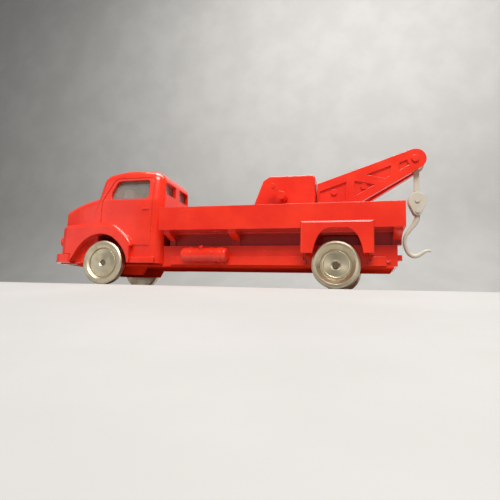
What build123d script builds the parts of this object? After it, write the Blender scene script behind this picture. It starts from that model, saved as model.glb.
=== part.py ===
from build123d import *
from math import acos, asin, atan2, cos, degrees, radians, sin
import os

# Toy tow truck, about 1:87. Millimetres. +X points to the tail, -Y is the truck's left side,
# +Z is up, and the origin is on the floor below the middle of the whole truck.

# ---------------------------------------------------------------- driving dimensions
wheelbase = 58.4
front_overhang = 16.9          # front axle to the bumper's front
rear_overhang = 14.6           # rear axle to the load bed's rear end
running_gap = 0.05             # radial clearance of what turns
seat_gap = 0.1                 # side clearance of what is dropped or pushed into place

# wheels and axles
axle_radius = 0.7
front_wheel_radius = 5.55
front_wheel_width = 2.2
front_track = 22.6             # over the outer faces
rear_wheel_radius = 5.35
rear_wheel_width = 3.2
rear_track = 23.0
axle_recess = 0.6              # axle end behind the wheel's outer face

# base plate and chassis frame
plate_bottom = 4.9
plate_thickness = 0.5
plate_width = 15.2
bearing_drop = 2.0             # how far the axle bearings hang below the plate
bearing_width = 11.0
bearing_length = 5.0
frame_top = 10.15
frame_width = 15.2
rail_wall = 1.3
rail_ledge = 0.5               # the lower half of a rail stands this proud
rail_ledge_height = 2.1
frame_nose = 8.0               # front axle to the frame's front end
frame_tail_inset = 1.4         # load bed's rear end to the frame's rear end
spring_width = 1.2             # front leaf springs, flush with the bearing's ends
spring_front = 7.0             # front axle to the springs' front ends
spring_back = 9.6              # front axle to the springs' rear ends

# load bed
bed_length = 57.0
bed_width = 25.0
bed_bottom = 13.4
bed_height = 5.6
bed_floor = 1.2
board = 1.1
hook_bay = 6.0                 # gap in the rear bearer, ahead of the hook
long_bearer_outer = 6.9        # outer face of the long bearers, from the middle
long_bearer_width = 1.0

# rear mudguards
guard_length = 15.8
guard_stand_out = 0.8          # proud of the bed's side
guard_top = 14.9
guard_bottom = 7.7
guard_wall = 1.0
guard_shift = 0.25             # guard's middle behind the rear axle
guard_arch_shift = 0.5         # arch's middle behind the rear axle

# air tank
tank_length = 11.6
tank_radius = 1.72
tank_band = 0.15               # bands stand this proud
tank_place = 11.3              # load bed's front end to the tank's middle

# cab
cab_gap = 0.6                  # cab's rear foot to the load bed
cab_bottom = 5.55
cab_width = 19.6
cab_wall = 1.0
cab_foot_length = 19.75         # rear foot to the scuttle below the windscreen
belt_height = 21.8             # foot of the windows and of the windscreen
roof_height = 30.4
roof_width = 17.6
cab_corner = 2.5
cab_lean = 0.8                 # top of the cab's rear wall, forward of its foot
seam_depth = 0.18
seam_width = 0.28
step_top = 9.9                 # top of the sunk step behind the wing
step_depth = 0.25
sill_height = 1.55
wing_width = 22.0
wing_height = 15.2
arch_gap = 1.45                # tyre to wheel arch
bumper_depth = 1.1
bumper_height = 2.2
bumper_wrap = 7.0              # bumper's front to the tips of its ends
bonnet_front_height = 20.4
bonnet_front_width = 10.4
bonnet_rear_width = 17.2
bonnet_rear_height = 23.3
bonnet_inset = 0.3             # truck's front to the radiator
wing_inset = 3.2               # truck's front to the wings
glass_thickness = 0.6

# winch housing, crank and jib
housing_length = 16.9
housing_width = 15.0
housing_top = 27.15
housing_wall = 1.0
housing_tail_inset = 19.7      # load bed's rear end to the housing's rear wall
crank_radius = 3.2
crank_shaft_radius = 0.65
crank_reach = 3.3              # arm's outer face beyond the housing wall
jib_overhang = 3.2             # jib pin beyond the load bed's rear end
jib_pin_height = 31.55
jib_tip_radius = 2.42
jib_root_top = 25.65
jib_root_bottom = 15.0
jib_cheek = 1.3
jib_tip_slot = 2.2             # between the cheeks at the pin
jib_root_slot = 6.4            # between the cheeks at the housing
jib_chord = 1.95
jib_panel_depth = 0.5
jib_pin_radius = 0.5

# hoist and hook
eye_radius = 2.3
eye_thickness = 1.4
strand_offset = 0.45           # strand's middle behind the jib pin
strand_width = 1.2
block_drop = 9.85               # jib pin to the block's upper pin
block_radius = 2.1
block_foot_radius = 1.05
block_plate = 0.55
block_core = 1.3
block_pin_radius = 0.3
hook_drop = 2.5                # between the block's two pins
hook_depth = 9.4               # hook's pin to its tip
hook_rod_radius = 0.53
hook_waist_radius = 0.45
hook_tip_radius = 0.3
hook_reach = 2.7               # hook tip's centre beyond the hook's own pin

# rear coupling
coupling_thickness = 1.3
coupling_width = 2.0
coupling_height = 7.4
coupling_bore_radius = 0.45
coupling_reach = 0.2           # tongue's tip beyond the load bed's rear end

# ---------------------------------------------------------------- places worked out from them
hook_tip_beyond_bed = jib_overhang + strand_offset + hook_reach + hook_tip_radius
tail_x = (front_overhang + wheelbase + rear_overhang - hook_tip_beyond_bed) / 2
rear_axle_x = tail_x - rear_overhang
front_axle_x = rear_axle_x - wheelbase
nose_x = front_axle_x - front_overhang
bed_front_x = tail_x - bed_length
cab_rear_x = bed_front_x - cab_gap
scuttle_x = cab_rear_x - cab_foot_length
frame_tail_x = tail_x - frame_tail_inset
plate_top = plate_bottom + plate_thickness
deck_top = bed_bottom + bed_floor
bed_top = bed_bottom + bed_height
housing_rear_x = tail_x - housing_tail_inset
jib_pin_x = tail_x + jib_overhang
strand_x = jib_pin_x + strand_offset
block_pin_z = jib_pin_height - block_drop
hook_pin_z = block_pin_z - hook_drop
arch_radius = front_wheel_radius + arch_gap
arch_z = front_wheel_radius + 0.35
frame_half = frame_width / 2
bonnet_x = nose_x + bonnet_inset
wing_x = nose_x + wing_inset
crank_x = housing_rear_x - 7.4
crank_z = deck_top + 6.9
bearing_foot = plate_bottom - bearing_drop
jib_angle = degrees(atan2(jib_root_slot - jib_tip_slot, 2 * (jib_pin_x - housing_rear_x)))


def block(x0, x1, y0, y1, z0, z1):
    """Box between two corners."""
    centre = ((x0 + x1) / 2, (y0 + y1) / 2, (z0 + z1) / 2)
    return Pos(*centre) * Box(x1 - x0, y1 - y0, z1 - z0)


def rod(x, z, radius, y0, y1):
    """Round bar along Y."""
    return Pos(x, (y0 + y1) / 2, z) * Rot(90, 0, 0) * Cylinder(radius, y1 - y0)


def side_polygon(*points):
    """Face in the XZ plane from x, z corners."""
    return make_face(Plane.XZ * Polyline(*points, close=True))


def across(face, y0, y1):
    """Solid between y0 and y1 from a face in the XZ plane."""
    return Pos(0, y1, 0) * extrude(face, amount=y1 - y0, dir=(0, -1, 0))


def mirrored(shape):
    """The same shape on the truck's other side."""
    return mirror(shape, about=Plane.XZ)


# ---------------------------------------------------------------- cab
def cabin(inset=0.0):
    """Cabin with its roof and rounded corners; inset moves every face inwards."""
    rear = cab_rear_x
    outline = side_polygon(
        (rear, cab_bottom), (rear - cab_lean, roof_height - 0.9), (rear - 7.0, roof_height),
        (rear - 12.0, roof_height), (rear - 18.2, roof_height - 1.1), (scuttle_x, belt_height),
        (scuttle_x, cab_bottom))
    if inset:
        outline = offset(outline, amount=-inset, kind=Kind.INTERSECTION)
    corners = outline.vertices().sort_by(Axis.Z)[-4:].sort_by(Axis.X)
    for corner, radius in zip(corners, (3.4, 25.0, 25.0, 3.0)):
        outline = fillet(outline.vertices().sort_by_distance(corner)[0], radius - inset)
    half = cab_width / 2 - inset
    shape = across(outline, -half, half)
    shade = (cab_width - roof_width) / 2
    slope = degrees(atan2(shade, roof_height - belt_height))
    for side in (-1, 1):
        hinge = Pos(0, side * half, belt_height) * Rot(slope * side, 0, 0)
        shape -= hinge * Pos(scuttle_x / 2, side * 5, 20) * Box(200, 10, 40)
    corner = cab_corner - min(inset, cab_corner - 0.4)
    top = shape.edges().filter_by(lambda e: e.center().Z > belt_height + 0.5)
    sides = [e for e in top if abs(e.center().Y) > half - shade - 0.6]
    posts = [e for e in shape.edges() if abs(e.center().Y) > half - 0.01 and e.length > 10
             and abs(e.center().X - rear) < cab_lean + inset and e.center().Z < belt_height]
    return fillet(ShapeList(sides + posts), corner)


def bonnet():
    """Bonnet with a crowned top that narrows to the radiator."""
    foot = cab_bottom + bumper_height + seat_gap + 0.5
    rear = scuttle_x + 0.5
    profile = make_face(Plane.XZ * (Curve() + [
        Polyline((bonnet_x, bonnet_front_height), (bonnet_x, foot), (rear, foot),
                 (rear, bonnet_rear_height)),
        Spline((rear, bonnet_rear_height), (bonnet_x + 7.6, bonnet_rear_height - 0.65),
               (bonnet_x, bonnet_front_height))]))
    plan = make_face(Polyline((bonnet_x, -bonnet_front_width / 2), (rear, -bonnet_rear_width / 2),
                              (rear, bonnet_rear_width / 2), (bonnet_x, bonnet_front_width / 2),
                              close=True))
    shape = across(profile, -wing_width, wing_width) & extrude(plan, amount=roof_height)
    upper = [e for e in shape.edges() if e.center().Z > foot + 0.5 and e.center().X < rear - 0.1]
    return fillet(ShapeList(upper), 1.9)


def wing():
    """Left front wing, closed over the wheel."""
    back = front_axle_x + 7.2
    top = wing_height + 0.8
    outline = make_face(Plane.XZ * (Curve() + [
        Polyline((back, cab_bottom), (wing_x, cab_bottom), (wing_x, wing_height),
                 (front_axle_x - 9.0, wing_height + 0.35), (front_axle_x - 2.0, top)),
        Spline((front_axle_x - 2.0, top), (front_axle_x + 2.7, top - 0.75),
               (front_axle_x + 5.3, top - 2.6), (front_axle_x + 7.8, top - 5.7),
               tangents=((1, 0), (0.4, -1))),
        Line((front_axle_x + 7.8, top - 5.7), (back, cab_bottom))]))
    shape = across(outline, -wing_width / 2, -cab_width / 4)
    front = [e for e in shape.edges().filter_by(Axis.Z) if abs(e.center().X - wing_x) < 0.01
             and abs(e.center().Y + wing_width / 2) < 0.01]
    shape = fillet(ShapeList(front), 3.0)
    outer = [e for e in shape.edges() if abs(e.center().Y + wing_width / 2) < 0.01
             and e.center().Z > cab_bottom + 3 and e.center().X > wing_x + 3.1]
    return fillet(ShapeList(outer), 1.0)


def wheel_arch():
    """Arch outline round the front axle: each point is an angle and its reach beyond the arch radius."""
    points = [(front_axle_x + (arch_radius + extra) * cos(radians(angle)),
               arch_z + (arch_radius + extra) * sin(radians(angle)))
              for angle, extra in ((188, 3.8), (163, 1.7), (143, 1.1), (119, 0.6), (96, 0.1),
                                   (70, -0.4), (44, -0.75), (22, -0.6), (-8, -0.1))]
    ends = (points[0][0], cab_bottom - 2), (points[-1][0], cab_bottom - 2)
    return make_face(Plane.XZ * (Curve() + [
        Spline(*points), Polyline(points[-1], ends[1], ends[0], points[0])]))


def skin(shape, inner, outline):
    """The thin layer between two cabins that lies behind a side outline."""
    return (shape - inner) & across(outline, -cab_width, cab_width)


def side_window():
    """Side window outline: sloping front edge, rounded corners."""
    rear = cab_rear_x - 4.25
    front = cab_rear_x - 15.0
    sill = belt_height + 0.4
    top = belt_height + 5.5
    face = side_polygon((rear, sill), (rear, top), (front + 1.5, top), (front, sill + 1.8), (front, sill))
    low = face.vertices().sort_by_distance(Vector(front, 0, sill))[0]
    face = fillet([low] + list(face.vertices().sort_by(Axis.X)[-2:]), 0.8)
    return fillet(face.vertices().sort_by_distance(Vector(front + 1.5, 0, top))[0], 1.6)


def door_line():
    """Seam round the door, from the wing up over the window."""
    rear = cab_rear_x - 2.8
    front = cab_rear_x - 17.6
    top = roof_height - 2.4
    outer = side_polygon((rear, step_top), (rear, top), (front + 3.4, top), (front, belt_height),
                         (front, step_top))
    outer = fillet(outer.vertices().sort_by(Axis.Z)[-2:], 1.6)
    return outer - offset(outer, amount=-seam_width)


def cab_openings():
    """Windscreen pair and rear window pair, cut along the truck."""
    panes = []
    for side in (-1, 1):
        rear_pane = Pos(0, side * 4.1, belt_height + 3.75) * Box(6, 6.0, 3.3)
        rear_pane = fillet(rear_pane.edges().filter_by(Axis.X), 0.5)
        screen_pane = Pos(0, side * 3.9, belt_height + 4.0) * Box(6, 6.6, 4.4)
        screen_pane = fillet(screen_pane.edges().filter_by(Axis.X), 0.8)
        panes.append(Pos(cab_rear_x - 1.5, 0, 0) * rear_pane)
        panes.append(Pos(scuttle_x + 1.2, 0, 0) * screen_pane)
    return panes


def cab_shell():
    """Cabin, bonnet and both front wings as one hollow moulding."""
    outer = cabin()
    hollow = cabin(cab_wall)
    wings = wing()
    wings += mirrored(wings)
    body = outer + bonnet() + wings
    half = cab_width / 2

    # sills and door handles
    for side in (-1, 1):
        sill = Pos(cab_rear_x - 4.85, side * half, cab_bottom + sill_height / 2) * Box(
            6.7, 1.0, sill_height)
        handle = Pos(cab_rear_x - 4.8, side * (half + 0.1), belt_height - 2.3) * Box(1.9, 0.5, 0.4)
        step_ends = sorted((side * (half - step_depth), side * wing_width))
        body -= block(cab_rear_x - 8.2, cab_rear_x - 3.0, *step_ends, cab_bottom + sill_height, step_top)
        body += [fillet(sill.edges(), 0.25), fillet(handle.edges(), 0.15)]

    # hollow inside, open below
    floor_cut = block(scuttle_x + cab_wall, cab_rear_x - cab_wall - 0.1, -half + cab_wall,
                      half - cab_wall, cab_bottom - 1, cab_bottom + 3)
    well = wing_width / 2 - front_wheel_width - 0.9
    nose_hollow = block(wing_x + 2.4, scuttle_x + 2, -well, well, cab_bottom - 1, wing_height - 1)
    body -= [hollow, floor_cut, nose_hollow]
    notch_x = nose_x + bumper_wrap + seat_gap
    body -= block(nose_x, notch_x, -wing_width, wing_width, cab_bottom - 1,
                  cab_bottom + bumper_height + seat_gap)
    rear_door = block(cab_rear_x - 3, cab_rear_x + 1, -frame_half - seat_gap, frame_half + seat_gap,
                      cab_bottom - 1, frame_top + seat_gap)
    body -= rear_door

    # wheel pockets with a slot for the axle
    pocket_inner = front_track / 2 - front_wheel_width - 0.4
    for side in (-1, 1):
        ends = sorted((side * pocket_inner, side * (wing_width / 2 + 1)))
        body -= across(wheel_arch(), *ends)
    slot = axle_radius + 0.4
    body -= block(front_axle_x - slot, front_axle_x + slot, -half, half,
                  cab_bottom - 1, front_wheel_radius + slot)

    # openings, seams and radiator
    body -= across(side_window(), -cab_width, cab_width)
    body -= cab_openings()
    body -= skin(outer, cabin(seam_depth), door_line()) - wings
    for i in range(-5, 6):
        body -= block(bonnet_x - 0.1, bonnet_x + 0.3, i * 0.72 - 0.17, i * 0.72 + 0.17,
                      cab_bottom + bumper_height + 1.4, bonnet_front_height - 2.2)
    for side in (-1, 1):
        body += Pos(wing_x + 0.3, side * 8.2, wing_height - 4) * Rot(0, -90, 0) * Cylinder(1.25, 1.6)
    return body


def cab_glazing():
    """One clear moulding that fills the windows from inside."""
    outer = cabin(cab_wall + seat_gap)
    inner = cabin(cab_wall + seat_gap + glass_thickness)
    band = block(-100, 100, -20, 20, belt_height - 0.6, roof_height - 1.9)
    return (outer & band) - inner


def front_bumper():
    """Bar across the nose with ends that wrap round the wings, on two brackets."""
    half = (wing_width - bumper_depth) / 2
    front = nose_x + bumper_depth / 2
    end = nose_x + bumper_wrap - bumper_depth / 2
    path = FilletPolyline((end, -half), (front + 3.2, -half), (front, -half + 3.4),
                          (front, half - 3.4), (front + 3.2, half), (end, half), radius=2.0)
    bar = extrude(make_face(offset(path, amount=bumper_depth / 2, side=Side.BOTH)),
                  amount=bumper_height)
    bar = Part() + Pos(0, 0, cab_bottom) * bar
    for side in (-1, 1):
        bar += block(front, front_axle_x - frame_nose, side * 5 - 0.7, side * 5 + 0.7,
                     cab_bottom, cab_bottom + 1.2)
    return bar


# ---------------------------------------------------------------- chassis
def chassis_frame():
    """Two ledged side rails, the cross members between them and the front extension."""
    front_x = cab_rear_x - 1.2
    body = block(front_x, frame_tail_x, -frame_half, frame_half, plate_top, frame_top)
    inner = frame_half - rail_wall
    body -= block(front_x + rail_wall, frame_tail_x - rail_wall, -inner, inner,
                  plate_top - 1, frame_top + 1)
    for x in (bed_front_x + 8, bed_front_x + 22, rear_axle_x - 9, rear_axle_x + 9):
        body += block(x - 0.8, x + 0.8, -inner, inner, plate_top + 1.6, frame_top - 1)
    for side in (-1, 1):
        ledge = sorted((side * frame_half, side * (frame_half + rail_ledge)))
        body += block(bed_front_x + 1.6, rear_axle_x - 7.6, *ledge, plate_top,
                      plate_top + rail_ledge_height)
        body += block(rear_axle_x + 7.6, frame_tail_x - 2.4, *ledge, plate_top,
                      plate_top + rail_ledge_height)
        for i in range(3):
            reach = 1.9 + 1.5 * i
            for end in (-1, 1):
                x = rear_axle_x + end * (6.9 + reach / 2)
                body += block(x - reach / 2, x + reach / 2, *ledge, plate_top + 0.4 * i,
                              plate_top + 0.4 * i + 0.4)
    outside = bearing_width / 2 + 1.6
    clear = axle_radius + 0.3
    extension = block(front_axle_x - frame_nose, front_x + 1, -outside, outside, plate_top,
                      front_wheel_radius + clear + 1.1)
    body += extension - block(front_axle_x - frame_nose + rail_wall, front_x - 1, -outside + rail_wall,
                              outside - rail_wall, plate_top - 1, frame_top)
    for x, z in ((rear_axle_x, rear_wheel_radius), (front_axle_x, front_wheel_radius)):
        keep = bearing_length / 2 + seat_gap
        body -= block(x - keep, x + keep, -bearing_width / 2 - seat_gap,
                      bearing_width / 2 + seat_gap, plate_top - 1, z + 2.2)
        body -= block(x - clear, x + clear, -wing_width, wing_width, plate_top - 1, z + clear)
    socket = coupling_width / 2 + seat_gap
    body -= block(frame_tail_x - rail_wall - 1, frame_tail_x + 1, -socket, socket,
                  coupling_height - seat_gap, coupling_height + coupling_thickness + seat_gap)
    return body


def base_plate():
    """Underside plate with the two axle bearings."""
    front = front_axle_x - 9.4
    plate = block(front, frame_tail_x - 0.8, -plate_width / 2, plate_width / 2,
                  plate_bottom, plate_top)
    wide = block(front, cab_rear_x - 0.6, -cab_width / 2 + 1.5, cab_width / 2 - 1.5,
                 plate_bottom, plate_top)
    plate += wide
    for side in (-1, 1):
        ends = sorted((side * bearing_width / 2, side * (bearing_width / 2 - spring_width)))
        plate += across(side_polygon(
            (front_axle_x - spring_front, plate_top), (front_axle_x - spring_front + 3, bearing_foot),
            (front_axle_x + spring_back - 1.3, bearing_foot),
            (front_axle_x + spring_back, plate_top)), *ends)
    for x, z in ((rear_axle_x, rear_wheel_radius), (front_axle_x, front_wheel_radius)):
        half = bearing_length / 2
        bearing = block(x - half, x + half, -bearing_width / 2, bearing_width / 2, bearing_foot, z + 2.0)
        plate += fillet(bearing.edges().filter_by(Axis.Y), 0.6)
        clear = axle_radius + 0.3
        for side in (-1, 1):
            ends = sorted((side * bearing_width / 2, side * wing_width))
            plate -= block(x - clear, x + clear, *ends, plate_bottom - 1, plate_top + 1)
        plate -= rod(x, z, axle_radius + running_gap, -wing_width, wing_width)
    return plate


def rear_coupling():
    """Tongue with a pin hole behind the frame."""
    root = frame_tail_x - rail_wall
    tip_radius = coupling_width / 2
    tip_x = tail_x + coupling_reach - tip_radius
    face = make_face(Curve() + [
        Polyline((tip_x, -tip_radius), (root, -tip_radius), (root, tip_radius), (tip_x, tip_radius)),
        ThreePointArc((tip_x, tip_radius), (tip_x + tip_radius, 0), (tip_x, -tip_radius))])
    face -= Pos(tip_x, 0) * Circle(coupling_bore_radius)
    return Pos(0, 0, coupling_height) * extrude(face, amount=coupling_thickness)


# ---------------------------------------------------------------- load bed
def load_bed():
    """Tray with boards on all sides and three bearers that stand on the frame."""
    half = bed_width / 2
    bed = block(bed_front_x, tail_x, -half, half, bed_bottom, bed_top)
    bed -= block(bed_front_x + board, tail_x - board, -half + board, half - board,
                 deck_top, bed_top + 1)
    reach = half - board
    foot = frame_half - 0.2
    bearer = make_face(Plane.YZ * Polyline(
        (-reach, bed_bottom), (-reach, bed_bottom - 0.7), (-foot, bed_bottom - 2.0),
        (-foot, frame_top), (-foot + 1.8, frame_top), (-foot + 1.8, bed_bottom - 1.2),
        (foot - 1.8, bed_bottom - 1.2), (foot - 1.8, frame_top), (foot, frame_top),
        (foot, bed_bottom - 2.0), (reach, bed_bottom - 0.7), (reach, bed_bottom), close=True))
    for x, length in ((bed_front_x + 0.9, 1.4), (bed_front_x + 17.4, 1.9), (frame_tail_x - 1.0, 1.9)):
        bed += Pos(x, 0, 0) * extrude(bearer, amount=length, dir=(1, 0, 0))
    for side in (-1, 1):
        ends = sorted((side * long_bearer_outer, side * (long_bearer_outer - long_bearer_width)))
        bed += block(bed_front_x + 0.9, frame_tail_x - 0.5, *ends, frame_top, bed_bottom + 0.2)
    bed -= block(frame_tail_x - 1, tail_x + 1, -hook_bay / 2, hook_bay / 2, frame_top, bed_bottom)
    return bed


def mudguard(side):
    """Boxed guard: skirt with the arch, end walls and top, closed against the rail."""
    half = bed_width / 2
    outer = half + guard_stand_out
    x0 = rear_axle_x - guard_length / 2 + guard_shift
    x1 = x0 + guard_length
    inner = frame_half + rail_ledge + seat_gap
    box = block(x0, x1, -outer, -inner, guard_bottom, bed_bottom)
    box += block(x0, x1, -outer, -half, guard_bottom, guard_top)
    rim = [e for e in box.edges() if abs(e.center().Y + outer) < 0.01
           and e.center().Z > guard_bottom + 0.1]
    box = fillet(ShapeList(rim), 0.55)
    box -= block(x0 + guard_wall, x1 - guard_wall, -outer + guard_wall, -inner + 1,
                 guard_bottom - 1, bed_bottom - guard_wall)
    centre = rear_axle_x + guard_arch_shift
    crown = bed_bottom - 0.1
    front = [(centre - 1.9, crown), (centre - 2.9, crown - 0.4), (centre - 4.95, crown - 3.5),
             (centre - 5.45, guard_bottom - 0.1)]
    back = [(2 * centre - x, z) for x, z in reversed(front)]
    arch = make_face(Plane.XZ * (Curve() + [
        Spline(*front), Line(front[-1], back[0]), Spline(*back), Line(back[-1], front[0])]))
    box -= across(arch, -outer - 1, -outer + guard_wall + 0.1)
    return box if side < 0 else mirrored(box)


def air_tank():
    """Banded tank on the left rail with two brackets and a filler."""
    x = bed_front_x + tank_place
    rail = -frame_half - rail_ledge
    y = rail - tank_radius - tank_band - seat_gap
    z = plate_top + tank_radius + 0.5
    tank = Rot(0, 90, 0) * Cylinder(tank_radius, tank_length)
    tank = fillet(tank.edges(), 0.7)
    for band in (-3.4, 1.9, 4.1):
        tank += Pos(band, 0, 0) * Rot(0, 90, 0) * Cylinder(tank_radius + tank_band, 0.6)
    tank += Pos(-0.4, -1.2, 1.4) * Rot(40, 0, 0) * Cylinder(0.45, 1.2)
    tank = Pos(x, y, z) * tank
    for bracket in (-3.4, 3.0):
        tank += block(x + bracket - 0.5, x + bracket + 0.5, y, rail, z - 1.0, z - 0.2)
    return tank


# ---------------------------------------------------------------- winch housing, crank and jib
def winch_housing():
    """Hollow housing on the deck, open below."""
    rear = housing_rear_x
    front = rear - housing_length
    outline = side_polygon((rear, deck_top), (rear, housing_top), (front + 5.9, housing_top),
                           (front + 4.3, housing_top - 1.0), (front, deck_top))
    top = outline.vertices().sort_by(Axis.Z)
    outline = fillet(top[-3:], 0.9)
    half = housing_width / 2
    shell = across(outline, -half, half)
    rim = [e for e in shell.edges() if abs(abs(e.center().Y) - half) < 0.01
           and e.center().Z > deck_top + 0.1]
    shell = fillet(ShapeList(rim), 0.35)
    shell -= across(offset(outline, amount=-housing_wall, kind=Kind.INTERSECTION),
                    -half + housing_wall, half - housing_wall)
    shell -= block(front + housing_wall, rear - housing_wall, -half + housing_wall,
                   half - housing_wall, deck_top - 1, deck_top + 2)
    shell -= rod(crank_x, crank_z, crank_shaft_radius + running_gap, -half - 1, 0)
    return shell


def winch_crank():
    """Shaft through the left wall, arm and grip."""
    wall = -housing_width / 2
    face = wall - crank_reach
    angle = radians(133)
    grip_x = crank_x + crank_radius * cos(angle)
    grip_z = crank_z + crank_radius * sin(angle)
    shaft = rod(crank_x, crank_z, crank_shaft_radius, face, wall + housing_wall + 1.6)
    boss = rod(crank_x, crank_z, 0.95, face - 0.25, wall - 0.3)
    arm = Pos((crank_x + grip_x) / 2, face + 0.4, (crank_z + grip_z) / 2) * Rot(
        0, -degrees(angle), 0) * Box(crank_radius, 0.8, 1.0)
    grip = rod(grip_x, grip_z, 0.6, face - 0.25, face + 1.3)
    return shaft + boss + arm + grip


def crank_collar():
    """Ring that keeps the crank in the wall."""
    inside = -housing_width / 2 + housing_wall + 0.3
    ring = rod(crank_x, crank_z, 1.3, inside, inside + 0.9)
    return ring - rod(crank_x, crank_z, crank_shaft_radius, inside - 1, inside + 2)


def jib_outline(inset=0.0):
    """Side outline of the jib: a wedge drawn tangent to the round tip, all edges moved in by inset."""
    centre = Vector(jib_pin_x, jib_pin_height)
    radius = jib_tip_radius - inset
    touching, roots = [], []
    for height, turn in ((jib_root_top, 1), (jib_root_bottom, -1)):
        root = Vector(housing_rear_x, height)
        run = root - centre
        angle = atan2(run.Y, run.X) - turn * acos(jib_tip_radius / run.length)
        normal = Vector(cos(angle), sin(angle))
        touching.append(centre + normal * radius)
        roots.append(root - normal * inset)
    top, bottom = roots
    upper, lower = touching
    nose = centre + Vector(radius, 0)
    return make_face(Plane.XZ * (Curve() + [
        Line(bottom, top), Line(top, upper), ThreePointArc(upper, nose, lower), Line(lower, bottom)]))


def strut(start, end, width):
    """Flat bar between two points of the XZ plane."""
    run = (end[0] - start[0], end[1] - start[1])
    size = (run[0] ** 2 + run[1] ** 2) ** 0.5
    shift = (-run[1] / size * width / 2, run[0] / size * width / 2)
    return side_polygon((start[0] + shift[0], start[1] + shift[1]),
                        (end[0] + shift[0], end[1] + shift[1]),
                        (end[0] - shift[0], end[1] - shift[1]),
                        (start[0] - shift[0], start[1] - shift[1]))


def jib_point(run, share):
    """Point of the jib's side: run in front of the pin, share of the way from lower to upper edge."""
    part = run / (jib_pin_x - housing_rear_x)
    lower = jib_pin_height - jib_tip_radius
    upper = jib_pin_height + jib_tip_radius
    lower += part * (jib_root_bottom - lower)
    upper += part * (jib_root_top - upper)
    return jib_pin_x - run, lower + share * (upper - lower)


def jib_panels():
    """Sunk panels between the chords, posts and diagonal."""
    inside = jib_outline(jib_chord)
    pin = Pos(jib_pin_x, 0, jib_pin_height) * (Plane.XZ * Circle(jib_tip_radius - 0.45))
    struts = [strut(jib_point(14.8, 1.3), jib_point(15.5, -0.3), 1.9),
              strut(jib_point(16.0, 0.96), jib_point(4.0, -0.26), 2.0),
              strut(jib_point(4.4, 1.05), jib_point(5.4, -0.36), 1.8)]
    return inside - struts - pin


def stud_places():
    """Where a cheek's two studs stand."""
    return jib_point(18.9, 0.64), jib_point(11.9, 0.41)


def cheek_place():
    """Where a left cheek's inner face lies: turned in towards the tip."""
    return Pos(jib_pin_x, -jib_tip_slot / 2, 0) * Rot(0, 0, jib_angle) * Pos(-jib_pin_x, 0, 0)


def jib_cheek_plate():
    """Left cheek with its sunk panels and stud holes."""
    plate = across(jib_outline(), -jib_cheek, 0)
    plate -= across(jib_panels(), -jib_cheek - 1, -jib_cheek + jib_panel_depth)
    for x, z in stud_places():
        plate -= rod(x, z, 0.4, -jib_cheek - 1, -0.3)
    plate = cheek_place() * plate
    plate &= block(-100, 100, -30, 0, 0, 100) - block(-100, housing_rear_x, -30, 30, 0, 100)
    return plate - rod(jib_pin_x, jib_pin_height, jib_pin_radius, -10, 10)


def jib_rivets():
    """Four studs with round heads, two in each cheek."""
    studs = []
    for x, z in stud_places():
        floor = -jib_cheek + jib_panel_depth
        stud = rod(x, z, 0.4, floor, -0.3) + rod(x, z, 0.75, floor - 0.4, floor)
        stud = cheek_place() * stud
        studs += [stud, mirrored(stud)]
    return Compound(children=studs)


def jib_web():
    """Filling between the cheeks, set back from their edges and from the tip slot."""
    profile = jib_outline(0.7)
    wide = jib_root_slot / 2
    narrow = jib_tip_slot / 2
    plan = make_face(Polyline((housing_rear_x, -wide), (jib_pin_x, -narrow), (jib_pin_x, narrow),
                              (housing_rear_x, wide), close=True))
    web = across(profile, -wide, wide) & extrude(plan, amount=60)
    return web - rod(jib_pin_x, jib_pin_height, eye_radius + 0.5, -10, 10) - block(
        jib_pin_x - eye_radius, jib_pin_x + 5, -10, 10, 0, jib_pin_height)


def sheave_pin():
    """Pin through both cheeks with a round head at each end."""
    half = jib_tip_slot / 2 + jib_cheek + 0.15
    pin = rod(jib_pin_x, jib_pin_height, jib_pin_radius, -half, half)
    for side in (-1, 1):
        ends = sorted((side * half, side * (half + 0.3)))
        pin += rod(jib_pin_x, jib_pin_height, 0.85, *ends)
    return pin


# ---------------------------------------------------------------- hoist and hook
def hoist_link():
    """Eye on the jib pin, the strand below it and the eye inside the block."""
    half = eye_thickness / 2
    link = rod(jib_pin_x, jib_pin_height, eye_radius, -half, half)
    link += block(strand_x - strand_width / 2, strand_x + strand_width / 2, -half + 0.2, half - 0.2,
                  block_pin_z, jib_pin_height - 1)
    core = block_core / 2
    link += rod(strand_x, block_pin_z, block_radius - 0.7, -core, core)
    link -= rod(jib_pin_x, jib_pin_height, jib_pin_radius + running_gap, -5, 5)
    return link - rod(strand_x, block_pin_z, block_pin_radius, -5, 5)


def block_outline():
    """Teardrop outline of the block's cheeks, two arcs joined by tangents."""
    tilt = asin((block_radius - block_foot_radius) / hook_drop)
    normal = (cos(tilt), -sin(tilt))
    ends = []
    for z, radius in ((block_pin_z, block_radius), (hook_pin_z, block_foot_radius)):
        ends.append([(strand_x + side * radius * normal[0], z + radius * normal[1])
                     for side in (-1, 1)])
    (top_front, top_rear), (foot_front, foot_rear) = ends
    crown = (strand_x, block_pin_z + block_radius)
    foot = (strand_x, hook_pin_z - block_foot_radius)
    return make_face(Plane.XZ * (Curve() + [
        ThreePointArc(top_front, crown, top_rear), Line(top_rear, foot_rear),
        ThreePointArc(foot_rear, foot, foot_front), Line(foot_front, top_front)]))


def block_cheek(side):
    """One cheek plate of the hook block."""
    inner = block_core / 2 + 0.05
    plate = across(block_outline(), -inner - block_plate, -inner)
    edge = [e for e in plate.edges() if abs(e.center().Y + inner + block_plate) < 0.01]
    plate = fillet(ShapeList(edge), 0.2)
    for z in (block_pin_z, hook_pin_z):
        plate -= rod(strand_x, z, block_pin_radius, -10, 10)
    return plate if side < 0 else mirrored(plate)


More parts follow.
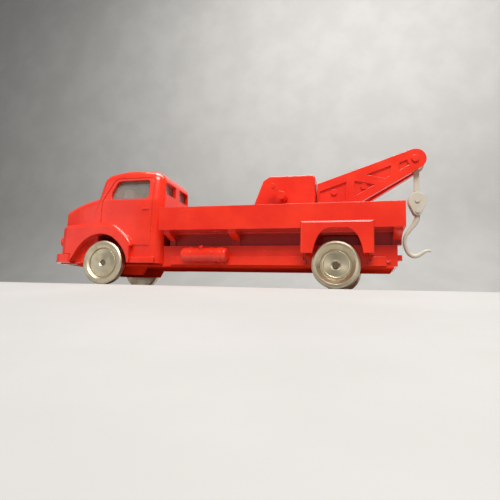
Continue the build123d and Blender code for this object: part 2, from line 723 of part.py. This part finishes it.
def block_pins():
    """Two pins with rounded heads that hold the block together."""
    half = block_core / 2 + 0.05 + block_plate
    pins = []
    for z in (block_pin_z, hook_pin_z):
        pin = rod(strand_x, z, block_pin_radius, -half, half)
        for side in (-1, 1):
            ends = sorted((side * half, side * (half + 0.3)))
            pin += rod(strand_x, z, 0.55, *ends)
        pins.append(pin)
    return Compound(children=pins)


def tow_hook():
    """Hook bent from round rod, thinner at its tip, on an eye between the cheeks."""
    x, z = strand_x, hook_pin_z
    tip = (x + hook_reach, z - hook_depth)
    path = Plane.XZ * Spline((x, z - 0.4), (x + 0.05, z - 1.3), (x - 1.15, z - 3.7), (x - 2.6, z - 5.8),
                             (x - 2.9, z - 7.4), (x - 2.5, z - 9.0), (x - 1.7, z - 10.25),
                             (x - 0.55, z - 10.65), (x + 0.5, z - 10.25), (x + 1.4, z - 9.65), tip)
    sections = []
    for t, radius in ((0, hook_rod_radius), (0.25, hook_rod_radius), (0.5, hook_waist_radius),
                      (0.72, hook_rod_radius), (0.85, hook_rod_radius - 0.05), (1, hook_tip_radius)):
        plane = Plane(origin=path @ t, z_dir=path % t, x_dir=(0, 1, 0))
        sections.append(plane * Circle(radius))
    hook = sweep(sections, path=path, multisection=True)
    hook += Pos(tip[0], 0, tip[1]) * Sphere(hook_tip_radius)
    hook += rod(x, z, 0.8, -block_core / 2, block_core / 2)
    return hook - rod(x, z, block_pin_radius + running_gap, -5, 5)


# ---------------------------------------------------------------- wheels
def axle(x, z, track):
    """Plain axle whose ends lie inside the wheels."""
    half = track / 2 - axle_recess
    bar = rod(x, z, axle_radius, -half, half)
    return chamfer(bar.edges(), 0.15)


def revolve_wheel(points, x, z, track, side):
    """Wheel from its half section; depth counts inwards from the outer face."""
    section = make_face(Polyline(*points, close=True))
    wheel = revolve(section, axis=Axis.Y)
    wheel = Pos(x, -track / 2, z) * wheel
    return wheel if side < 0 else mirrored(wheel)


def front_wheel(side):
    """Narrow wheel with a shallow disc in a raised rim."""
    r, w = front_wheel_radius, front_wheel_width
    points = [(axle_radius, 0.55), (1.0, 0.35), (2.4, 0.4), (3.5, 0.55), (3.7, 0.75), (3.8, 0.35),
              (4.35, 0.0), (r - 0.35, 0.0), (r, 0.3), (r, w - 0.3), (r - 0.3, w), (2.0, w),
              (2.0, w + 0.3), (axle_radius, w + 0.3)]
    return revolve_wheel(points, front_axle_x, r, front_track, side)


def rear_wheel(side):
    """Wide wheel with a deep stepped dish."""
    r, w = rear_wheel_radius, rear_wheel_width
    points = [(axle_radius, 1.35), (1.2, 1.2), (2.7, 1.15), (2.8, 0.95), (3.15, 0.95), (3.25, 1.15),
              (3.4, 1.15), (3.5, 0.75), (4.35, 0.0), (r - 0.45, 0.0), (r - 0.1, 0.2), (r, 0.55),
              (r, w - 0.4), (r - 0.4, w), (axle_radius, w)]
    return revolve_wheel(points, rear_axle_x, r, rear_track, side)


def main():
    os.makedirs("parts", exist_ok=True)
    shapes = {
        "cab_shell": cab_shell(), "cab_glazing": cab_glazing(), "front_bumper": front_bumper(),
        "chassis_frame": chassis_frame(), "base_plate": base_plate(),
        "rear_coupling": rear_coupling(), "load_bed": load_bed(), "air_tank": air_tank(),
        "mudguard_left": mudguard(-1), "mudguard_right": mudguard(1),
        "winch_housing": winch_housing(), "winch_crank": winch_crank(),
        "crank_collar": crank_collar(), "jib_left": jib_cheek_plate(),
        "jib_right": mirrored(jib_cheek_plate()), "jib_web": jib_web(),
        "jib_rivets": jib_rivets(), "sheave_pin": sheave_pin(), "hoist_link": hoist_link(),
        "block_cheek_left": block_cheek(-1), "block_cheek_right": block_cheek(1),
        "block_pins": block_pins(), "tow_hook": tow_hook(),
        "front_axle": axle(front_axle_x, front_wheel_radius, front_track),
        "rear_axle": axle(rear_axle_x, rear_wheel_radius, rear_track),
        "front_left_wheel": front_wheel(-1), "front_right_wheel": front_wheel(1),
        "rear_left_wheel": rear_wheel(-1), "rear_right_wheel": rear_wheel(1)}
    for name, shape in shapes.items():
        export_step(shape, f"parts/{name}.step")


main()
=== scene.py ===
from math import cos, pi, radians, sin

import bpy
from mathutils import Matrix, Vector


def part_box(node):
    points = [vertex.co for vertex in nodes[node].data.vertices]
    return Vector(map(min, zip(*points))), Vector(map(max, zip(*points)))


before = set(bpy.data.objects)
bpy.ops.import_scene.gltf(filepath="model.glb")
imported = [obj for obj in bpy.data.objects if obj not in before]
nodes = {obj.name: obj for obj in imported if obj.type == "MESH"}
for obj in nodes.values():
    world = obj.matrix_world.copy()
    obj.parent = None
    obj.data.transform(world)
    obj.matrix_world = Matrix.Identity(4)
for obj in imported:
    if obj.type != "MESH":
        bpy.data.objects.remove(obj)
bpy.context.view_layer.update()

MM = 0.001
BEARER_HEIGHT = 3.25 * MM     # from the chassis frame's top up to the load bed
RAIL_LEDGE = 0.5 * MM         # the lower half of a rail stands this proud of the upper

# base colours: linear red, green, blue, and alpha
RED_DEEP, RED_BRIGHT = (0.74, 0.022, 0.008, 1), (0.84, 0.036, 0.012, 1)
# the second colour on the next line is painted shade, for the layer under the load bed
RED_GRIME, RED_PAINTED_SHADE = (0.60, 0.014, 0.006, 1), (0.24, 0.005, 0.003, 1)
# paler edge colour: rubbed plastic, with a painted highlight in it
RED_RUB_AND_HIGHLIGHT = (0.95, 0.13, 0.07, 1)
HOIST_GREY, HOIST_CREAM = (0.50, 0.475, 0.38, 1), (0.57, 0.54, 0.44, 1)
HOIST_HANDLED, HOIST_RUBBED = (0.38, 0.36, 0.28, 1), (0.68, 0.66, 0.57, 1)
PLATING, PLATING_DULL = (0.74, 0.65, 0.47, 1), (0.54, 0.46, 0.31, 1)
PLATING_RUBBED = (0.88, 0.85, 0.76, 1)
STEEL_DARK, STEEL_PALE = (0.16, 0.135, 0.10, 1), (0.30, 0.26, 0.20, 1)
GLAZING, GLAZING_HAZY = (0.72, 0.68, 0.60, 1), (0.62, 0.58, 0.50, 1)
FLOOR_GREY, FLOOR_PALE = (0.36, 0.355, 0.345, 1), (0.39, 0.385, 0.375, 1)


# ------------------------------------------------------------------ shader building
class Shader:
    """A material under construction. A noise's scale is in cells per metre."""

    def __init__(self, name):
        self.material = bpy.data.materials.new(name)
        self.material.use_nodes = True
        self.tree = self.material.node_tree
        self.surface = self.tree.nodes["Principled BSDF"]
        self.place = self.add("ShaderNodeTexCoord").outputs["Object"]

    def add(self, kind, **settings):
        node = self.tree.nodes.new(kind)
        for key, value in settings.items():
            setattr(node, key, value)
        return node

    def link(self, source, target):
        """The target follows another node's output, or takes a plain value."""
        if isinstance(source, bpy.types.NodeSocket):
            self.tree.links.new(source, target)
        else:
            target.default_value = source

    def finish(self, values):
        """Gives the surface its inputs by name and hands the material over."""
        for name, value in values.items():
            self.link(value, self.surface.inputs[name])
        return self.material

    def noise(self, scale, detail=3.0, roughness=0.55, place=None, stretch=None):
        node = self.add("ShaderNodeTexNoise")
        node.inputs["Scale"].default_value = scale
        node.inputs["Detail"].default_value = detail
        node.inputs["Roughness"].default_value = roughness
        place = place or self.place
        if stretch:
            mapping = self.add("ShaderNodeMapping")
            mapping.inputs["Scale"].default_value = stretch
            self.link(place, mapping.inputs["Vector"])
            place = mapping.outputs["Vector"]
        self.link(place, node.inputs["Vector"])
        return node.outputs["Fac"]

    def band(self, value, low, high, out_low=0.0, out_high=1.0):
        """A smooth step from out_low, where value is low, to out_high, where it is high."""
        node = self.add("ShaderNodeMapRange", interpolation_type="SMOOTHSTEP")
        ends = {"From Min": low, "From Max": high, "To Min": out_low, "To Max": out_high}
        for key, number in {"Value": value, **ends}.items():
            self.link(number, node.inputs[key])
        return node.outputs["Result"]

    def mix(self, share, a, b):
        node = self.add("ShaderNodeMix", data_type="RGBA")
        self.link(share, node.inputs["Factor"])
        self.link(a, node.inputs[6])
        self.link(b, node.inputs[7])
        return node.outputs[2]

    def math(self, operation, a, b=0.0):
        node = self.add("ShaderNodeMath", operation=operation)
        self.link(a, node.inputs[0])
        self.link(b, node.inputs[1])
        return node.outputs[0]

    def vector_math(self, operation, a, b=(0.0, 0.0, 0.0), output="Vector"):
        node = self.add("ShaderNodeVectorMath", operation=operation)
        self.link(a, node.inputs[0])
        self.link(b, node.inputs[1])
        return node.outputs[output]

    def edge_wear(self, radius):
        """The rounded normal, and how far a point lies on a sharp edge: 0 on flats."""
        rounded = self.add("ShaderNodeBevel", samples=6)
        rounded.inputs["Radius"].default_value = radius
        true = self.add("ShaderNodeNewGeometry").outputs["Normal"]
        together = self.vector_math("DOT_PRODUCT", rounded.outputs["Normal"], true, output="Value")
        return rounded.outputs["Normal"], self.band(together, 0.995, 0.80)

    def bump(self, height, distance, normal=None, strength=1.0):
        node = self.add("ShaderNodeBump")
        node.inputs["Strength"].default_value = strength
        node.inputs["Distance"].default_value = distance
        self.link(height, node.inputs["Height"])
        if normal is not None:
            self.link(normal, node.inputs["Normal"])
        return node.outputs["Normal"]


def bearer_painted_shade(s):
    """Painted shade in the layer from the frame's top up to the bed: 0 outside it.

    It keeps inside the rails and behind the radiator, and takes in the cab's inside too.
    """
    # how strongly the painted shade darkens the layer
    shade_strength = 0.8
    fade, side_fade, upper_fade = 0.1 * MM, 0.15 * MM, 0.5 * MM
    start, full = 1.9 * MM, 2.2 * MM      # measured back from the frame's front end
    frame_low, frame_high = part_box("chassis_frame")
    edge = frame_high.y - RAIL_LEDGE
    bed_bottom = frame_high.z + BEARER_HEIGHT
    axes = s.add("ShaderNodeSeparateXYZ")
    s.link(s.place, axes.inputs[0])
    x, y, z = (axes.outputs[axis] for axis in "XYZ")
    shade = s.band(s.math("ABSOLUTE", y), edge - side_fade, edge, shade_strength, 0.0)
    for limit in (s.band(z, frame_high.z, frame_high.z + fade),
                  s.band(z, bed_bottom - upper_fade, bed_bottom + fade, 1.0, 0.0),
                  s.band(x, frame_low.x + start, frame_low.x + full)):
        shade = s.math("MULTIPLY", shade, limit)
    return shade


def red_moulding(name, satin):
    """Red moulded plastic: flow clouds, fine skin, faint hairlines, paler edges that are partly
    rubbed and partly a painted highlight.

    satin runs from 0, glossy, to 1, dull and without a coat.
    """
    s = Shader(name)
    rounded, worn = s.edge_wear(0.16 * MM)
    flow = s.noise(90, 4, 0.6)
    grime = s.noise(420, 5, 0.65)
    colour = s.mix(s.band(flow, 0.35, 0.68), RED_DEEP, RED_BRIGHT)
    colour = s.mix(s.band(grime, 0.62, 0.80, 0, 0.35), colour, RED_GRIME)
    # painted shade: darkens the layer between the frame and the load bed
    colour = s.mix(bearer_painted_shade(s), colour, RED_PAINTED_SHADE)
    # paler edges, from rubbing and as a painted highlight; the rubbed edges are rougher too
    rub_and_highlight = s.math("MULTIPLY", worn, s.band(s.noise(700, 3), 0.35, 0.65, 0.10, 0.55))
    colour = s.mix(rub_and_highlight, colour, RED_RUB_AND_HIGHLIGHT)
    hairline = s.band(s.noise(260, 2, 0.5, stretch=(0.25, 3.0, 9.0)), 0.60, 0.66)
    rough = s.band(s.noise(150, 4), 0.3, 0.75, 0.13, 0.24)
    for extra in (s.math("MULTIPLY", hairline, 0.06), s.math("MULTIPLY", rub_and_highlight, 0.25),
                  0.35 * satin):
        rough = s.math("ADD", rough, extra)
    skin = s.math("ADD", s.noise(240, 3), s.math("MULTIPLY", s.noise(1900, 2), 0.08))
    return s.finish({
        "Base Color": colour,
        "Roughness": rough,
        "Normal": s.bump(skin, 0.05 * MM, rounded, 0.45),
        "Specular IOR Level": 0.5 * (1 - satin),
        "IOR": 1.5,
        "Coat Weight": 0.15 * (1 - satin),
        "Coat Roughness": 0.08})


def hoist_moulding():
    """Off-white moulded plastic, satin, yellowed a little in patches, greyer where handled."""
    s = Shader("hoist_moulding")
    rounded, worn = s.edge_wear(0.10 * MM)
    age = s.noise(160, 4)
    colour = s.mix(s.band(age, 0.3, 0.7), HOIST_GREY, HOIST_CREAM)
    colour = s.mix(s.band(s.noise(900, 4), 0.6, 0.8, 0, 0.4), colour, HOIST_HANDLED)
    return s.finish({
        "Base Color": s.mix(s.math("MULTIPLY", worn, 0.35), colour, HOIST_RUBBED),
        "Roughness": s.band(s.noise(300, 3), 0.3, 0.7, 0.30, 0.45),
        "Normal": s.bump(s.noise(1500, 3), 0.02 * MM, rounded, 0.5)})


def turned_metal(name, centre_x, centre_z):
    """Plated metal turned on a lathe: fine rings round the axle line, stains, worn rims."""
    s = Shader(name)
    rounded, worn = s.edge_wear(0.10 * MM)
    off_axis = s.vector_math("SUBTRACT", s.place, (centre_x, 0.0, centre_z))
    flat = s.vector_math("MULTIPLY", off_axis, (1.0, 0.0, 1.0))
    radius = s.vector_math("LENGTH", flat, output="Value")
    along = s.add("ShaderNodeCombineXYZ")
    s.link(radius, along.inputs["X"])
    rings = s.noise(9000, 3, 0.7, place=along.outputs["Vector"])
    broad = s.noise(1500, 2, 0.5, place=along.outputs["Vector"])
    stain = s.noise(380, 5, 0.6)
    colour = s.mix(s.band(stain, 0.35, 0.75), PLATING, PLATING_DULL)
    colour = s.mix(s.band(broad, 0.40, 0.70, 0, 0.35), colour, PLATING_DULL)
    height = s.math("ADD", s.math("MULTIPLY", rings, 0.5), broad)
    return s.finish({
        "Base Color": s.mix(s.math("MULTIPLY", worn, 0.5), colour, PLATING_RUBBED),
        "Metallic": 1.0,
        "Roughness": s.band(stain, 0.3, 0.8, 0.30, 0.50),
        "Anisotropic": 0.55,
        "Tangent": s.vector_math("CROSS_PRODUCT", flat, (0.0, 1.0, 0.0)),
        "Normal": s.bump(height, 0.02 * MM, rounded, 0.5)})


def axle_steel():
    """Dark drawn steel with lengthwise draw marks."""
    s = Shader("axle_steel")
    drawn = s.noise(2500, 3, 0.6, stretch=(6.0, 0.4, 6.0))
    return s.finish({
        "Base Color": s.mix(s.band(drawn, 0.35, 0.65), STEEL_DARK, STEEL_PALE),
        "Metallic": 1.0,
        "Roughness": s.band(drawn, 0.3, 0.7, 0.25, 0.42),
        "Normal": s.bump(drawn, 0.01 * MM, strength=0.4)})


def clear_moulding():
    """Clear moulded glazing, slightly grey, with faint flow ripples and hazy scuffs."""
    s = Shader("clear_moulding")
    haze = s.noise(500, 4)
    return s.finish({
        "Base Color": s.mix(s.band(haze, 0.4, 0.7), GLAZING, GLAZING_HAZY),
        "Roughness": s.band(haze, 0.4, 0.75, 0.05, 0.16),
        "Transmission Weight": 0.78,
        "IOR": 1.45,
        "Normal": s.bump(s.noise(300, 2), 0.05 * MM, strength=0.3)})


# ------------------------------------------------------------------ finishes on the pieces
def finish_pieces():
    """Every piece gets its finish, by the record's slot names."""
    slots = {
        "red_plastic": red_moulding("red_moulding", satin=0.0),
        "hoist_plastic": hoist_moulding(),
        "clear_glazing": clear_moulding(),
        "axle_steel": axle_steel()}
    satin_red = red_moulding("satin_red_moulding", satin=1.0)
    wheel_metals = {}
    for pair in ("front", "rear"):
        low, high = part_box(f"{pair}_left_wheel")
        centre = (low + high) / 2
        wheel_metals[pair] = turned_metal(f"{pair}_wheel_plating", centre.x, centre.z)
    for name, node in nodes.items():
        for place in node.material_slots:
            if name.endswith("_wheel"):
                place.material = wheel_metals[name.split("_")[0]]
            elif name == "base_plate":
                place.material = satin_red
            else:
                place.material = slots[place.material.name.split(".")[0]]


# ------------------------------------------------------------------ stage, light and camera
def floor():
    """Plain pale floor that rises into a wall behind the truck and falls away in front of it."""
    wall_y, wall_top, half_width = 420 * MM, 900 * MM, 900 * MM
    cove, cove_steps = 120 * MM, 12              # the rise into the wall
    level, crest = 20 * MM, -12.0 * MM           # the first keeps the shading flat
    run, runs = 3.0 * MM, 10                     # the fall, in short straight runs
    slope, steepening, apron = 0.045, 0.009, 650 * MM
    profile = [(wall_y, wall_top)]
    for step in range(cove_steps + 1):
        angle = pi / 2 * step / cove_steps
        profile.append((wall_y - cove + cove * cos(angle), cove - cove * sin(angle)))
    profile += [(level, 0.0), (crest, 0.0)]
    y, z = crest, 0.0
    for _ in range(runs):
        slope += steepening
        y -= run
        z -= run * slope
        profile.append((y, z))
    profile.append((y - apron, z - apron * slope))
    verts = [(side * half_width, y, z) for y, z in profile for side in (-1, 1)]
    faces = [(2 * i + 1, 2 * i, 2 * i + 2, 2 * i + 3) for i in range(len(profile) - 1)]
    mesh = bpy.data.meshes.new("floor")
    mesh.from_pydata(verts, [], faces)
    mesh.polygons.foreach_set("use_smooth", [True] * len(faces))
    obj = bpy.data.objects.new("floor", mesh)
    bpy.context.scene.collection.objects.link(obj)
    s = Shader("floor_paint")
    mesh.materials.append(s.finish({
        "Base Color": s.mix(s.band(s.noise(30, 4), 0.35, 0.7), FLOOR_GREY, FLOOR_PALE),
        "Roughness": 0.75}))


def soft_box(name, place, aim, width, height, power, colour):
    """A rectangular lamp that faces its aim; sizes in metres, power in watts."""
    light = bpy.data.lights.new(name, "AREA")
    light.shape = "RECTANGLE"
    light.size, light.size_y = width, height
    light.energy = power
    light.color = colour
    obj = bpy.data.objects.new(name, light)
    obj.location = place
    obj.rotation_euler = (Vector(aim) - Vector(place)).to_track_quat("-Z", "Y").to_euler()
    bpy.context.scene.collection.objects.link(obj)


def studio():
    """Soft room light, a window from the left, a lamp overhead, a fill and one on the wall."""
    room, room_strength = (0.80, 0.81, 0.82, 1), 0.28
    warm, cool = (1.0, 0.98, 0.95), (0.97, 0.98, 1.0)
    truck, wall = (0.0, 0.0, 0.015), (0.05, 0.42, 0.12)
    world = bpy.data.worlds.new("room")
    bpy.context.scene.world = world
    world.use_nodes = True
    back = world.node_tree.nodes["Background"]
    back.inputs["Color"].default_value = room
    back.inputs["Strength"].default_value = room_strength
    for name, place, aim, width, height, power, colour in (
            ("window", (0.07, -0.25, 0.29), truck, 0.20, 0.14, 1.4, warm),
            ("overhead", (0.0, -0.02, 0.32), truck, 0.14, 0.08, 0.7, warm),
            ("fill", (-0.30, -0.25, 0.10), truck, 0.25, 0.25, 0.12, cool),
            ("wall_wash", (0.05, 0.12, 0.45), wall, 0.5, 0.2, 2.6, warm)):
        soft_box(name, place, aim, width, height, power, colour)
    bpy.context.scene.view_settings.view_transform = "Standard"


def camera():
    """Low view from the truck's left, from beside its tail, turned a little to the cab."""
    place = Vector((32.686, -105.589, -4.011)) * MM
    yaw, pitch, roll = radians(14.925), radians(7.361), radians(-1.845)
    upright = radians(90)                 # from facing straight down to facing along +Y
    data = bpy.data.cameras.new("camera")
    data.sensor_width = 36.0
    data.lens = 30.6
    data.clip_start = 0.005
    data.clip_end = 10.0
    obj = bpy.data.objects.new("camera", data)
    bpy.context.scene.collection.objects.link(obj)
    turn = (Matrix.Rotation(yaw, 4, "Z") @ Matrix.Rotation(upright + pitch, 4, "X")
            @ Matrix.Rotation(-roll, 4, "Z"))
    obj.matrix_world = Matrix.Translation(place) @ turn
    bpy.context.scene.camera = obj


finish_pieces()
floor()
studio()
camera()
